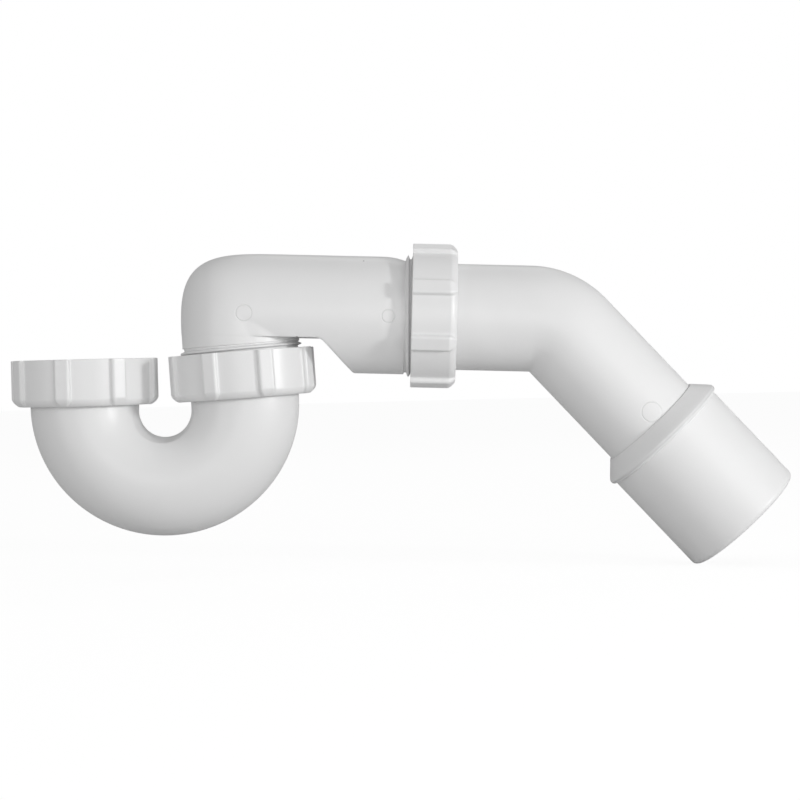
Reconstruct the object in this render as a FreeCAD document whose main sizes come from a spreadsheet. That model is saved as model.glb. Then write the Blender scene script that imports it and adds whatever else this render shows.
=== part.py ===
import FreeCAD, Part
import Sketcher
import math
import os
import re
from FreeCAD import Vector

# Bath trap: a U-bend with two captive union nuts, a swivel elbow, a compression joint,
# a 45 degree outlet pipe and a 40/50 sleeve. Millimetres and degrees.
# The origin is the middle of the inlet nut's mouth, Z runs up out of it and X is the way
# that the water leaves.
doc = FreeCAD.newDocument("BathTrap")
sheet = doc.addObject("Spreadsheet::Sheet", "Sizes")

driving = {
    # the three nuts
    "nutWall": (3.3, "nut outside its thread, between the grip ribs"),
    "ribHeight": (1.7, "grip rib, out of the nut"),
    "unionNutHeight": (17.4, "inlet and outlet nut"),
    "compressionNutHeight": (16.8, "nut of the outlet joint"),
    "ribCount": (8, "grip ribs round each nut"),
    "ribWidth": (6.0, "one grip rib"),
    "ribRound": (1.3, "outer corners of a rib"),
    "nutRoundHeight": (3.3, "rounded closed end, along the axis"),
    "nutRoundWidth": (2.9, "rounded closed end, across the axis"),
    "nutRoundCurve": (3.8, "radius of that rounding"),
    "threadDepth": (1.8, "from a spigot's thread bottom to a nut's"),
    "nutRelief": (0.5, "wider bore behind a nut's thread"),
    "nutThreadGap": (0.4, "end of a nut's thread, before the spigot's end"),
    "unionLip": (3.2, "lip under a flange of the U-bend"),
    "lipClearance": (0.5, "lip of a union nut round the tube"),
    "inletNutPhase": (24.4, "how far the inlet nut is turned"),
    "outletNutPhase": (18.0, "how far the outlet nut is turned"),
    "compressionNutPhase": (22.5, "how far the compression nut is turned"),
    # the U-bend
    "tubeRadius": (20.4, "outside of the U-bend"),
    "tubeWall": (2.2, "wall of the U-bend"),
    "bendRadius": (30.3, "middle line of the U-bend"),
    "bendDrop": (17.5, "from the inlet nut's mouth down to the bend"),
    "outletLean": (2.9, "lean of the outlet arm towards the inlet"),
    "bellyFlat": (0.9, "how much the lowest point is flattened"),
    "crotchDrop": (2.6, "how much the crotch is cut below the round"),
    "crotchDraft": (8.5, "draft of the crotch towards both sides"),
    "crotchWall": (2.0, "wall left under the crotch"),
    "flangeThickness": (2.8, "flange that a union nut pulls on"),
    "flangeWidth": (1.6, "that flange, out of the tube"),
    "flangeGap": (1.2, "flange and washers inside a nut's bore"),
    # flat washers
    "washerThickness": (2.4, "flat washers of the two unions"),
    "washerOverhang": (0.2, "washer inside the tube's bore"),
    # the swivel elbow
    "spigotWall": (1.15, "arm's threaded end, round the socket"),
    "legWall": (2.4, "leg's threaded end, round its bore"),
    "elbowStep": (0.9, "leg and arm, out of their threaded ends"),
    "legThreadShow": (2.5, "thread in sight above the outlet nut"),
    "armRise": (15.0, "arm's axis above the outlet nut's mouth"),
    "elbowTurn": (95.6, "from the leg's axis to the arm's axis"),
    "cornerSquareness": (4.67, "2 is an oval corner, more is squarer"),
    "valleyGap": (0.5, "turning point of the ovals, outside the valley"),
    "flatDrop": (9.15, "flat underside below the arm's axis"),
    "flatWall": (2.1, "wall over the flat underside and its slope"),
    "slopeReach": (32.0, "from the leg's axis to the slope"),
    "slopeAngle": (47.2, "slope down to the socket"),
    "slopeRound": (5.0, "rounding where the slope starts"),
    "shoulderReach": (53.0, "from the leg's axis to the arm's shoulder"),
    "shoulderLength": (8.5, "rounded shoulder down to the thread"),
    "shoulderCurve": (42.0, "radius of the rounded shoulder"),
    # the compression joint
    "jointReach": (65.5, "from the leg's axis to the compression nut"),
    "spigotEntry": (7.0, "elbow's spigot inside the compression nut"),
    "socketClearance": (0.25, "pipe in the elbow's socket"),
    "mouthBevelWidth": (0.7, "bevel of the socket's mouth, across"),
    "mouthBevelLength": (1.4, "bevel of the socket's mouth, along"),
    "sealClearance": (0.05, "cone washer round the pipe"),
    "sealFlange": (4.4, "thick end of the cone washer"),
    "sealNoseLength": (1.0, "tapered nose of the cone washer"),
    "sealNoseWidth": (0.3, "tip of that nose, across"),
    "sealNoseGap": (0.2, "nose inside the socket's bevel"),
    "ringThickness": (1.4, "slip ring"),
    "ringClearance": (0.3, "slip ring and nut lip round the pipe"),
    # the outlet pipe
    "pipeRadius": (20.0, "outside of the outlet pipe"),
    "pipeWall": (1.8, "wall of the outlet pipe"),
    "pipeEntry": (8.5, "pipe's end behind the compression nut's mouth"),
    "pipeRun": (44.6, "from that mouth to the pipe's bend"),
    "pipeBendEase": (0.5, "inside radius of the pipe's bend"),
    "pipeTurn": (45.0, "turn of the pipe's bend"),
    "pipeLeg": (45.0, "from the bend to the sleeve"),
    "sleeveOverlap": (34.0, "pipe inside the sleeve"),
    # the adapter sleeve
    "sleeveRadius": (25.0, "outside of the sleeve"),
    "sleeveLength": (50.6, "whole sleeve"),
    "sleeveWall": (2.4, "wall of the sleeve"),
    "rimRadius": (26.2, "rounded rim of the sleeve's mouth"),
    "rimRound": (1.0, "round of that rim"),
    "rimStep": (0.4, "slope from that rim to the sleeve"),
    "mouthCone": (5.9, "conical mouth, along"),
    "mouthEdge": (0.6, "thin edge of the mouth"),
    "gripClearance": (0.05, "sealing lips round the pipe"),
    "gripWidth": (1.6, "crest of a sealing lip"),
    "gripPitch": (7.0, "from one sealing lip to the next"),
    "noseRound": (4.0, "rounded outlet end"),
    "noseFlat": (0.3, "flat that the rounding leaves at least"),
    "noseDepth": (6.0, "thickened outlet end"),
    "noseClearance": (0.6, "outlet end round the pipe"),
    # for the construction
    "overrun": (1.0, "how far a cut runs past what it cuts"),
}
for row, (name, (size, meaning)) in enumerate(driving.items(), start=1):
    sheet.set(f"A{row}", str(size))
    sheet.setAlias(f"A{row}", name)
    sheet.set(f"B{row}", meaning)
doc.recompute()


# Sizes that follow from the driving ones. One thread serves the three nuts: its nuts go over
# the flange of the U-bend, and its spigots round the socket that takes the pipe.
following = {
    "tubeBore": "tubeRadius - tubeWall",
    "socketRadius": "pipeRadius + socketClearance",
    "nutBoreRadius": "max(tubeRadius + flangeWidth + flangeGap; socketRadius + spigotWall + threadDepth)",
    "nutValleyRadius": "nutBoreRadius + nutWall",
    "nutTipRadius": "nutValleyRadius + ribHeight",
    "flangeRadius": "nutBoreRadius - flangeGap",
    "spigotRadius": "nutBoreRadius - threadDepth",
    "elbowRadius": "spigotRadius + elbowStep",
    "legBoreRadius": "spigotRadius - legWall",
    "spigotDepth": "unionNutHeight - unionLip - flangeThickness - washerThickness",
    "sealBack": "spigotEntry + sealFlange",
    "compressionLip": "compressionNutHeight - sealBack - ringThickness",
    "armTurn": "elbowTurn - outletLean",
    "legTurn": "armTurn + pipeTurn",
    "pipeBendRadius": "pipeRadius + pipeBendEase",
}


def bound(formula):
    """Puts the sheet's name before its sizes in a formula and writes out those that follow."""
    def written(word):
        if word[1] in driving:
            return f"Sizes.{word[1]}"
        return f"({bound(following[word[1]])})" if word[1] in following else word[1]
    return re.sub(r"\b(\w+)\b", written, formula)


def value(formula):
    """What a formula comes to now."""
    return float(sheet.evalExpression(bound(formula)))


def bind(item, prop, formula):
    item.setExpression(prop, bound(formula))


def place(item, base, turn="rotation(vector(0;1;0); 0)"):
    """Ties an object's place to the sheet; base and turn are formulas."""
    bind(item, "Placement", f"placement({base}; {turn})")


def aboutY(angle):
    return f"rotation(vector(0;1;0); {angle})"


def aboutZ(angle):
    return f"rotation(vector(0;0;1); {angle})"


def outletPoint(rise):
    """A point on the outlet arm's axis, as far above the end of the bend as said."""
    across = f"bendRadius * (1 + cos(outletLean)) - ({rise}) * sin(outletLean)"
    up = f"bendRadius * sin(outletLean) + ({rise}) * cos(outletLean) - bendDrop"
    return across, up


def armPoint(reach):
    """A point on the arm's axis, as far from the leg's axis as said."""
    across, up = outletPoint("bendDrop + armRise")
    return f"{across} + ({reach}) * sin(armTurn)", f"{up} + ({reach}) * cos(armTurn)"


def pipeLegPoint(reach):
    """A point on the axis of the pipe's lower leg, as far past the bend as said."""
    across, up = armPoint("jointReach + pipeRun")
    across += f" + pipeBendRadius * (cos(armTurn) - cos(legTurn)) + ({reach}) * sin(legTurn)"
    up += f" + pipeBendRadius * (sin(legTurn) - sin(armTurn)) + ({reach}) * cos(legTurn)"
    return across, up


def at(point):
    return f"vector({point[0]}; 0; {point[1]})"


def originPlane(body, role):
    return next(feature for feature in body.Origin.OriginFeatures if feature.Role == role)


def newBody(label):
    body = doc.addObject("PartDesign::Body", label)
    body.Label = label
    return body


def outline(body, name, plane, corners):
    """A closed sketch. Each corner is two formulas, across and along. A third entry makes
    the edge that leaves it an arc: its radius, and +1 or -1 for a left or right turn."""
    sketch = body.newObject("Sketcher::SketchObject", name)
    sketch.AttachmentSupport = [(originPlane(body, plane), "")]
    sketch.MapMode = "FlatFace"
    spots = [Vector(value(corner[0]), value(corner[1]), 0) for corner in corners]
    ends = []
    for index, corner in enumerate(corners):
        start = spots[index]
        end = spots[(index + 1) % len(spots)]
        if len(corner) == 2:
            edge = sketch.addGeometry(Part.LineSegment(start, end), False)
            ends.append((edge, 1, 2))
            continue
        radius, side = corner[2]
        half = (end - start).Length / 2
        sagitta = value(radius) - math.sqrt(value(radius) ** 2 - half ** 2)
        chord = (end - start).normalize()
        outward = Vector(chord.y, -chord.x, 0) * side
        middle = (start + end) * 0.5 + outward * sagitta
        # a sketch counts an arc's ends anticlockwise
        if side > 0:
            edge = sketch.addGeometry(Part.Arc(start, middle, end), False)
            ends.append((edge, 1, 2))
        else:
            edge = sketch.addGeometry(Part.Arc(end, middle, start), False)
            ends.append((edge, 2, 1))
    for index, (edge, first, last) in enumerate(ends):
        follower = ends[(index + 1) % len(ends)]
        sketch.addConstraint(Sketcher.Constraint("Coincident", edge, last, follower[0], follower[1]))
    for index, (edge, first, last) in enumerate(ends):
        for kind, formula, size in (
            ("DistanceX", corners[index][0], spots[index].x),
            ("DistanceY", corners[index][1], spots[index].y),
        ):
            fixed = sketch.addConstraint(Sketcher.Constraint(kind, -1, 1, edge, first, size))
            sketch.renameConstraint(fixed, f"{kind}{index}")
            bind(sketch, f"Constraints.{kind}{index}", formula)
        if len(corners[index]) == 3:
            radius = corners[index][2][0]
            curve = sketch.addConstraint(Sketcher.Constraint("Radius", edge, value(radius)))
            sketch.renameConstraint(curve, f"Curve{index}")
            bind(sketch, f"Constraints.Curve{index}", radius)
    return sketch


def turned(body, name, corners, kind="Revolution"):
    """A full turn of an outline (radius, height) about the body's own Z axis."""
    sketch = outline(body, f"{name}Profile", "XZ_Plane", corners)
    feature = body.newObject(f"PartDesign::{kind}", name)
    feature.Profile = sketch
    feature.ReferenceAxis = (sketch, ["V_Axis"])
    feature.Angle = 360
    return feature


# The nuts: a ring with a lip at the closed end, grip ribs all round and one rounded corner
# that runs over ribs and ring alike. Local Z leaves the open end.
def makeNut(label, nutHeight, lip, lipBore, spigot, base, turn):
    nut = newBody(label)
    turned(nut, f"{label}_ring", [
        ("nutBoreRadius + nutRelief", f"{lip} - {nutHeight}"),
        ("nutBoreRadius + nutRelief", f"nutThreadGap - {spigot}"),
        ("nutBoreRadius", f"nutThreadGap - {spigot}"),
        ("nutBoreRadius", "0"),
        ("nutValleyRadius", "0"),
        ("nutValleyRadius", f"-{nutHeight}"),
        (lipBore, f"-{nutHeight}"),
        (lipBore, f"{lip} - {nutHeight}"),
    ])
    ribSketch = outline(nut, f"{label}_ribPlan", "XY_Plane", [
        ("(nutBoreRadius + nutValleyRadius) / 2", "-ribWidth / 2"),
        ("nutTipRadius - ribRound", "-ribWidth / 2", ("ribRound", 1)),
        ("nutTipRadius", "ribRound - ribWidth / 2"),
        ("nutTipRadius", "ribWidth / 2 - ribRound", ("ribRound", 1)),
        ("nutTipRadius - ribRound", "ribWidth / 2"),
        ("(nutBoreRadius + nutValleyRadius) / 2", "ribWidth / 2"),
    ])
    rib = nut.newObject("PartDesign::Pad", f"{label}_rib")
    rib.Profile = ribSketch
    bind(rib, "Length", nutHeight)
    rib.Reversed = True
    ribs = nut.newObject("PartDesign::PolarPattern", f"{label}_ribs")
    ribs.Originals = [rib]
    ribs.Axis = (ribSketch, ["N_Axis"])
    ribs.Angle = 360
    bind(ribs, "Occurrences", "ribCount")
    nut.Tip = ribs
    # the corner is a quarter round, flatter across than along
    turned(nut, f"{label}_corner", [
        ("nutTipRadius + overrun", f"-{nutHeight} - overrun"),
        ("nutTipRadius + overrun", f"nutRoundHeight - {nutHeight}"),
        ("nutTipRadius", f"nutRoundHeight - {nutHeight}", ("nutRoundCurve", -1)),
        ("nutTipRadius - nutRoundWidth", f"-{nutHeight}"),
        ("nutTipRadius - nutRoundWidth", f"-{nutHeight} - overrun"),
    ], "Groove")
    place(nut, base, turn)
    return nut


# A flat or tapered ring about its own Z axis
def makeRing(label, corners, base, turn):
    ring = newBody(label)
    turned(ring, f"{label}_section", corners)
    place(ring, base, turn)
    return ring


outletTilt = aboutY("-outletLean")
armTilt = aboutY("armTurn")
makeNut(
    "inlet_union_nut", "unionNutHeight", "unionLip", "tubeRadius + lipClearance",
    "spigotDepth", "vector(0;0;0)", aboutZ("inletNutPhase"),
)
makeNut(
    "outlet_union_nut", "unionNutHeight", "unionLip", "tubeRadius + lipClearance",
    "spigotDepth", at(outletPoint("bendDrop")), f"{outletTilt} * {aboutZ('outletNutPhase')}",
)
makeNut(
    "compression_nut", "compressionNutHeight", "compressionLip", "pipeRadius + ringClearance",
    "spigotEntry", at(armPoint("jointReach")),
    f"{aboutY('armTurn + 180')} * {aboutZ('compressionNutPhase')}",
)

washerSection = [
    ("tubeBore - washerOverhang", "-spigotDepth - washerThickness"),
    ("flangeRadius", "-spigotDepth - washerThickness"),
    ("flangeRadius", "-spigotDepth"),
    ("tubeBore - washerOverhang", "-spigotDepth"),
]
makeRing("inlet_washer", washerSection, "vector(0;0;0)", aboutY("0"))
makeRing("elbow_washer", washerSection, at(outletPoint("bendDrop")), outletTilt)

# The cone washer fills the nut and its nose enters the bevel of the socket's mouth
makeRing("cone_washer", [
    ("pipeRadius + sealClearance", "spigotEntry - sealNoseLength"),
    ("pipeRadius + sealClearance + sealNoseWidth", "spigotEntry - sealNoseLength"),
    ("socketRadius + mouthBevelWidth - sealNoseGap", "spigotEntry"),
    ("flangeRadius", "spigotEntry"),
    ("flangeRadius", "sealBack"),
    ("pipeRadius + sealClearance", "sealBack"),
], at(armPoint("jointReach")), armTilt)
makeRing("slip_ring", [
    ("pipeRadius + ringClearance", "sealBack"),
    ("flangeRadius", "sealBack"),
    ("flangeRadius", "sealBack + ringThickness"),
    ("pipeRadius + ringClearance", "sealBack + ringThickness"),
], at(armPoint("jointReach")), armTilt)


# The U-bend: two lofts through ovals, the outside and the bore. The ovals are round at both
# arms and get lower towards the middle, where the crotch is cut and the belly flattened.
bendSteps = 10


def bendLoft(label, sideRadius, innerRadius, outerRadius, crotchRise):
    ovals = []
    for step in range(bendSteps + 1):
        angle = f"(180 + outletLean) * {step / bendSteps}"
        fullness = f"sin(180 * {step / bendSteps}) ^ 2"
        near = f"({innerRadius} + ({crotchRise}) * {fullness})"
        far = f"({outerRadius} - bellyFlat * {fullness})"
        middle = f"({near} + {far}) / 2"
        oval = doc.addObject("Part::Ellipse", f"{label}_oval{step}")
        bind(oval, "MajorRadius", sideRadius)
        bind(oval, "MinorRadius", f"min({sideRadius}; ({far} - {near}) / 2)")
        place(
            oval,
            f"vector(bendRadius - {middle} * cos({angle}); 0; -bendDrop - {middle} * sin({angle}))",
            f"{aboutY('-' + angle)} * {aboutZ('90')}",
        )
        ovals.append(oval)
    loft = doc.addObject("Part::Loft", label)
    loft.Sections = ovals
    loft.Solid = True
    return loft


def bendNeck(label, base, turn):
    """One end of the U-bend above the bend: the straight tube and its flange, solid."""
    neck = newBody(label)
    flangeFoot = "(unionLip - unionNutHeight)"
    turned(neck, f"{label}_form", [
        ("0", "-bendDrop"),
        ("tubeRadius", "-bendDrop"),
        ("tubeRadius", flangeFoot),
        ("flangeRadius", flangeFoot),
        ("flangeRadius", f"{flangeFoot} + flangeThickness"),
        ("0", f"{flangeFoot} + flangeThickness"),
    ])
    place(neck, base, turn)
    return neck


def neckBore(label, base, turn):
    bore = doc.addObject("Part::Cylinder", label)
    bind(bore, "Radius", "tubeBore")
    bind(bore, "Height", "bendDrop")
    place(bore, base, turn)
    return bore


def crotchCone(label, direction):
    """Half of the moulding finger between the arms, wider away from the middle plane."""
    cone = doc.addObject("Part::Cone", label)
    bind(cone, "Radius1", "bendRadius - tubeRadius")
    bind(cone, "Radius2", "bendRadius - tubeRadius + tubeRadius * tan(crotchDraft)")
    bind(cone, "Height", "tubeRadius")
    place(cone, "vector(bendRadius; 0; -bendDrop - crotchDrop)", f"rotation(vector(1;0;0); {direction})")
    return cone


def joined(label, kind, parts):
    if kind == "Cut":
        result = doc.addObject("Part::Cut", label)
        result.Base, result.Tool = parts
    else:
        result = doc.addObject("Part::MultiFuse", label)
        result.Shapes = parts
    result.Label = label
    return result


bendSkin = joined("bend_skin", "Fuse", [
    bendLoft("bend_outside", "tubeRadius", "(bendRadius - tubeRadius)", "(bendRadius + tubeRadius)", "0"),
    bendNeck("inlet_neck", "vector(0;0;0)", aboutY("0")),
    bendNeck("outlet_neck", at(outletPoint("bendDrop")), outletTilt),
])
bendVoid = joined("bend_void", "Fuse", [
    bendLoft(
        "bend_bore", "tubeBore", "(bendRadius - tubeBore)", "(bendRadius + tubeBore)",
        "crotchDrop + crotchWall - tubeWall",
    ),
    neckBore("inlet_bore", "vector(0;0;-bendDrop)", aboutY("0")),
    neckBore("outlet_bore", at(outletPoint("0")), outletTilt),
    crotchCone("crotch_front", "90"),
    crotchCone("crotch_back", "-90"),
])
joined("u_bend", "Cut", [bendSkin, bendVoid])


# The swivel elbow, in its own frame: Z is the leg's axis, from the face on the washer.
# Leg and arm are round. Ovals that turn about the valley under the corner carry one into the
# other: they are the sections of the leg at first and of the arm at last, and the outer
# corner between them is rounded. Below, a flat and a slope cut the arm away to the socket.
armHeight = "(spigotDepth + armRise)"
armFrame = (f"vector(0; 0; {armHeight})", aboutY("elbowTurn"))
valleyX = "(elbowRadius + valleyGap)"
valleyZ = f"({armHeight} - {valleyX} * (sin(elbowTurn - 90) + 1) / cos(elbowTurn - 90))"
valleyReach = f"({valleyX} * cos(elbowTurn - 90) - ({valleyZ} - {armHeight}) * sin(elbowTurn - 90))"
elbowSteps = 12


def elbowLoft(label, legWall, armWall):
    """The turn of the elbow, moved in by a wall that may change from leg to arm."""
    ovals = []
    for step in range(elbowSteps + 1):
        share = step / elbowSteps
        turn = f"elbowTurn * {share}"
        wall = f"(({legWall}) * {1 - share} + ({armWall}) * {share})"
        fromLeg = f"abs(cos({turn})) ^ cornerSquareness"
        fromArm = f"abs(sin({turn} - elbowTurn + 90)) ^ cornerSquareness"
        far = f"((elbowRadius * 2 + valleyGap) * ({fromLeg} + {fromArm}) ^ (-1 / cornerSquareness))"
        middle = f"({far} + valleyGap) / 2"
        oval = doc.addObject("Part::Ellipse", f"{label}_oval{step}")
        bind(oval, "MajorRadius", f"max(elbowRadius; ({far} - valleyGap) / 2) - {wall}")
        bind(oval, "MinorRadius", f"elbowRadius - {wall}")
        place(
            oval,
            f"vector({valleyX} - {middle} * cos({turn}); 0; {valleyZ} + {middle} * sin({turn}))",
            aboutY(turn),
        )
        ovals.append(oval)
    halves = []
    for side, first in (("lower", 0), ("upper", elbowSteps // 2)):
        half = doc.addObject("Part::Loft", f"{label}_{side}")
        half.Sections = ovals[first:first + elbowSteps // 2 + 1]
        half.Solid = True
        halves.append(half)
    return joined(label, "Fuse", halves)


def undercut(label, wall, legRadius):
    """What the flat and the slope take away beside the leg, moved into the arm by a wall."""
    block = newBody(f"{label}_prism")
    flat = f"({wall} - flatDrop)"
    start = f"(slopeReach + {wall} * tan(slopeAngle / 2))"
    tangent = "(slopeRound * tan(slopeAngle / 2))"
    depth = "(elbowRadius * 2)"
    sketch = outline(block, f"{label}_side", "XZ_Plane", [
        ("-elbowRadius * 2", flat),
        (f"{start} - {tangent}", flat, ("slopeRound", -1)),
        (f"{start} + {tangent} * cos(slopeAngle)", f"{flat} - {tangent} * sin(slopeAngle)"),
        (f"{start} + {depth} / tan(slopeAngle)", f"{flat} - {depth}"),
        ("-elbowRadius * 2", f"{flat} - {depth}"),
    ])
    pad = block.newObject("PartDesign::Pad", f"{label}_block")
    pad.Profile = sketch
    bind(pad, "Length", "elbowRadius * 3")
    pad.Midplane = True
    place(block, armFrame[0], aboutY("elbowTurn - 90"))
    leg = doc.addObject("Part::Cylinder", f"{label}_leg")
    bind(leg, "Radius", legRadius)
    bind(leg, "Height", f"{armHeight} * 3")
    place(leg, f"vector(0; 0; -{armHeight})")
    return joined(label, "Cut", [block, leg])


spigotEnd = "(jointReach + spigotEntry)"
armForm = newBody("arm_form")
turned(armForm, "arm_turning", [
    ("0", valleyReach),
    ("elbowRadius", valleyReach),
    ("elbowRadius", "shoulderReach", ("shoulderCurve", 1)),
    ("spigotRadius", "shoulderReach + shoulderLength"),
    ("spigotRadius", spigotEnd),
    ("0", spigotEnd),
])
place(armForm, *armFrame)
threadBed = newBody("thread_bed")
turned(threadBed, "thread_bed_ring", [
    ("spigotRadius", "0"),
    ("elbowRadius + overrun", "0"),
    ("elbowRadius + overrun", "spigotDepth + legThreadShow"),
    ("spigotRadius", "spigotDepth + legThreadShow"),
])
legFoot = doc.addObject("Part::Cylinder", "leg_foot")
bind(legFoot, "Radius", "elbowRadius + overrun * 2")
bind(legFoot, "Height", "elbowRadius")
place(legFoot, "vector(0; 0; -elbowRadius)")
elbowSkin = joined("elbow_skin", "Cut", [
    joined("elbow_outside", "Fuse", [elbowLoft("elbow_turning", "0", "0"), armForm]),
    joined("elbow_cuts", "Fuse", [undercut("underside", "0", "elbowRadius"), threadBed, legFoot]),
])

socket = newBody("socket_form")
turned(socket, "socket_turning", [
    ("0", valleyReach),
    ("socketRadius", valleyReach),
    ("socketRadius", f"{spigotEnd} - mouthBevelLength"),
    ("socketRadius + mouthBevelWidth", spigotEnd),
    ("0", spigotEnd),
])
place(socket, *armFrame)
elbowVoid = joined("elbow_void", "Cut", [
    joined("elbow_bore", "Fuse", [
        elbowLoft("bore_turning", "elbowRadius - legBoreRadius", "elbowRadius - socketRadius"),
        socket,
    ]),
    undercut("floor", "flatWall", "legBoreRadius"),
])
swivelElbow = joined("swivel_elbow", "Cut", [elbowSkin, elbowVoid])
place(swivelElbow, at(outletPoint("bendDrop - spigotDepth")), outletTilt)


# The outlet pipe: one tube along a straight run, a bend and a straight leg
outletPipe = newBody("outlet_pipe")
ringSketch = outletPipe.newObject("Sketcher::SketchObject", "pipe_section")
ringSketch.AttachmentSupport = [(originPlane(outletPipe, "XY_Plane"), "")]
ringSketch.MapMode = "FlatFace"
for index, radius in enumerate(("pipeRadius", "pipeRadius - pipeWall")):
    circle = ringSketch.addGeometry(Part.Circle(Vector(0, 0, 0), Vector(0, 0, 1), value(radius)), False)
    ringSketch.addConstraint(Sketcher.Constraint("Coincident", circle, 3, -1, 1))
    size = ringSketch.addConstraint(Sketcher.Constraint("Radius", circle, value(radius)))
    ringSketch.renameConstraint(size, f"Radius{index}")
    bind(ringSketch, f"Constraints.Radius{index}", radius)

spine = outletPipe.newObject("Sketcher::SketchObject", "pipe_spine")
spine.AttachmentSupport = [(originPlane(outletPipe, "XZ_Plane"), "")]
spine.MapMode = "FlatFace"
run = "(pipeEntry + pipeRun)"
legEnd = "(pipeLeg + sleeveOverlap)"
bendX = "pipeBendRadius * (1 - cos(pipeTurn))"
bendZ = f"{run} + pipeBendRadius * sin(pipeTurn)"
stops = [
    ("0", "0"),
    ("0", run),
    (bendX, bendZ),
    (f"{bendX} + {legEnd} * sin(pipeTurn)", f"{bendZ} + {legEnd} * cos(pipeTurn)"),
]
spots = [Vector(value(across), value(along), 0) for across, along in stops]
halfTurn = math.radians(value("pipeTurn / 2"))
bendSize = value("pipeBendRadius")
arcMiddle = Vector(bendSize * (1 - math.cos(halfTurn)), value(run) + bendSize * math.sin(halfTurn), 0)
firstRun = spine.addGeometry(Part.LineSegment(spots[0], spots[1]), False)
pipeArc = spine.addGeometry(Part.Arc(spots[2], arcMiddle, spots[1]), False)
lastRun = spine.addGeometry(Part.LineSegment(spots[2], spots[3]), False)
spine.addConstraint(Sketcher.Constraint("Coincident", firstRun, 2, pipeArc, 2))
spine.addConstraint(Sketcher.Constraint("Coincident", pipeArc, 1, lastRun, 1))
bendCurve = spine.addConstraint(Sketcher.Constraint("Radius", pipeArc, bendSize))
spine.renameConstraint(bendCurve, "BendRadius")
bind(spine, "Constraints.BendRadius", "pipeBendRadius")
for index, (edge, end) in enumerate(((firstRun, 1), (firstRun, 2), (lastRun, 1), (lastRun, 2))):
    for kind, formula, size in (
        ("DistanceX", stops[index][0], spots[index].x),
        ("DistanceY", stops[index][1], spots[index].y),
    ):
        fixed = spine.addConstraint(Sketcher.Constraint(kind, -1, 1, edge, end, size))
        spine.renameConstraint(fixed, f"{kind}{index}")
        bind(spine, f"Constraints.{kind}{index}", formula)
tube = outletPipe.newObject("PartDesign::AdditivePipe", "pipe_tube")
tube.Profile = ringSketch
tube.Spine = (spine, ["Edge1", "Edge2", "Edge3"])
place(outletPipe, at(armPoint("jointReach - pipeEntry")), armTilt)


# The adapter sleeve: conical mouth, rounded rim, two sealing lips and a rounded outlet end.
# Local Z runs down the pipe's leg from the thin edge of the mouth.
sleeve = newBody("adapter_sleeve")
gripRadius = "(pipeRadius + gripClearance)"
gripDepth = "(sleeveRadius - sleeveWall)"
firstGrip = "mouthCone"
secondGrip = "(mouthCone + gripPitch)"
noseBore = "(pipeRadius + noseClearance)"
noseCorner = f"min(noseRound; sleeveRadius - {noseBore} - noseFlat)"
turned(sleeve, "sleeve_turning", [
    (gripRadius, "0"),
    (f"{gripRadius} + mouthEdge", "0"),
    ("rimRadius - rimRound", "mouthCone", ("rimRound", 1)),
    ("rimRadius", "mouthCone + rimRound", ("rimRound", 1)),
    ("rimRadius - rimRound", "mouthCone + rimRound * 2"),
    ("sleeveRadius", "mouthCone + rimRound * 2 + rimStep"),
    ("sleeveRadius", f"sleeveLength - {noseCorner}", (noseCorner, 1)),
    (f"sleeveRadius - {noseCorner}", "sleeveLength"),
    (noseBore, "sleeveLength"),
    (noseBore, "sleeveLength - noseDepth"),
    (gripDepth, f"sleeveLength - noseDepth - {gripDepth} + {noseBore}"),
    (gripDepth, f"{secondGrip} + gripWidth + {gripDepth} - {gripRadius}"),
    (gripRadius, f"{secondGrip} + gripWidth"),
    (gripRadius, secondGrip),
    (f"{gripRadius} + sleeveWall / 2", f"{secondGrip} - sleeveWall / 2"),
    (f"{gripRadius} + sleeveWall / 2", f"{firstGrip} + gripWidth + sleeveWall / 2"),
    (gripRadius, f"{firstGrip} + gripWidth"),
])
place(sleeve, at(pipeLegPoint("pipeLeg")), aboutY("legTurn"))

doc.recompute()

pieces = (
    "u_bend", "inlet_union_nut", "inlet_washer", "outlet_union_nut", "elbow_washer", "swivel_elbow",
    "compression_nut", "slip_ring", "cone_washer", "outlet_pipe", "adapter_sleeve",
)
for item in doc.Objects:
    if "Invalid" in item.State or "Error" in item.State:
        raise RuntimeError(f"{item.Name} didn't recompute: {item.State}")
nodes = {label: doc.getObjectsByLabel(label)[0] for label in pieces}
for label, piece in nodes.items():
    if piece.Shape.isNull() or not piece.Shape.isValid() or len(piece.Shape.Solids) != 1:
        raise RuntimeError(f"{label} isn't one valid solid")

os.makedirs("parts", exist_ok=True)
for label, piece in nodes.items():
    piece.Shape.exportStep(f"parts/{label}.step")
    box = piece.Shape.BoundBox
    print(
        f"{label}: {piece.Shape.Volume / 1000:.2f} cm3,"
        f" X {box.XMin:.2f} to {box.XMax:.2f}, Y {box.YMin:.2f} to {box.YMax:.2f},"
        f" Z {box.ZMin:.2f} to {box.ZMax:.2f}"
    )
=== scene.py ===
import math

import bpy
import numpy as np
from mathutils import Matrix, Vector


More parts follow.
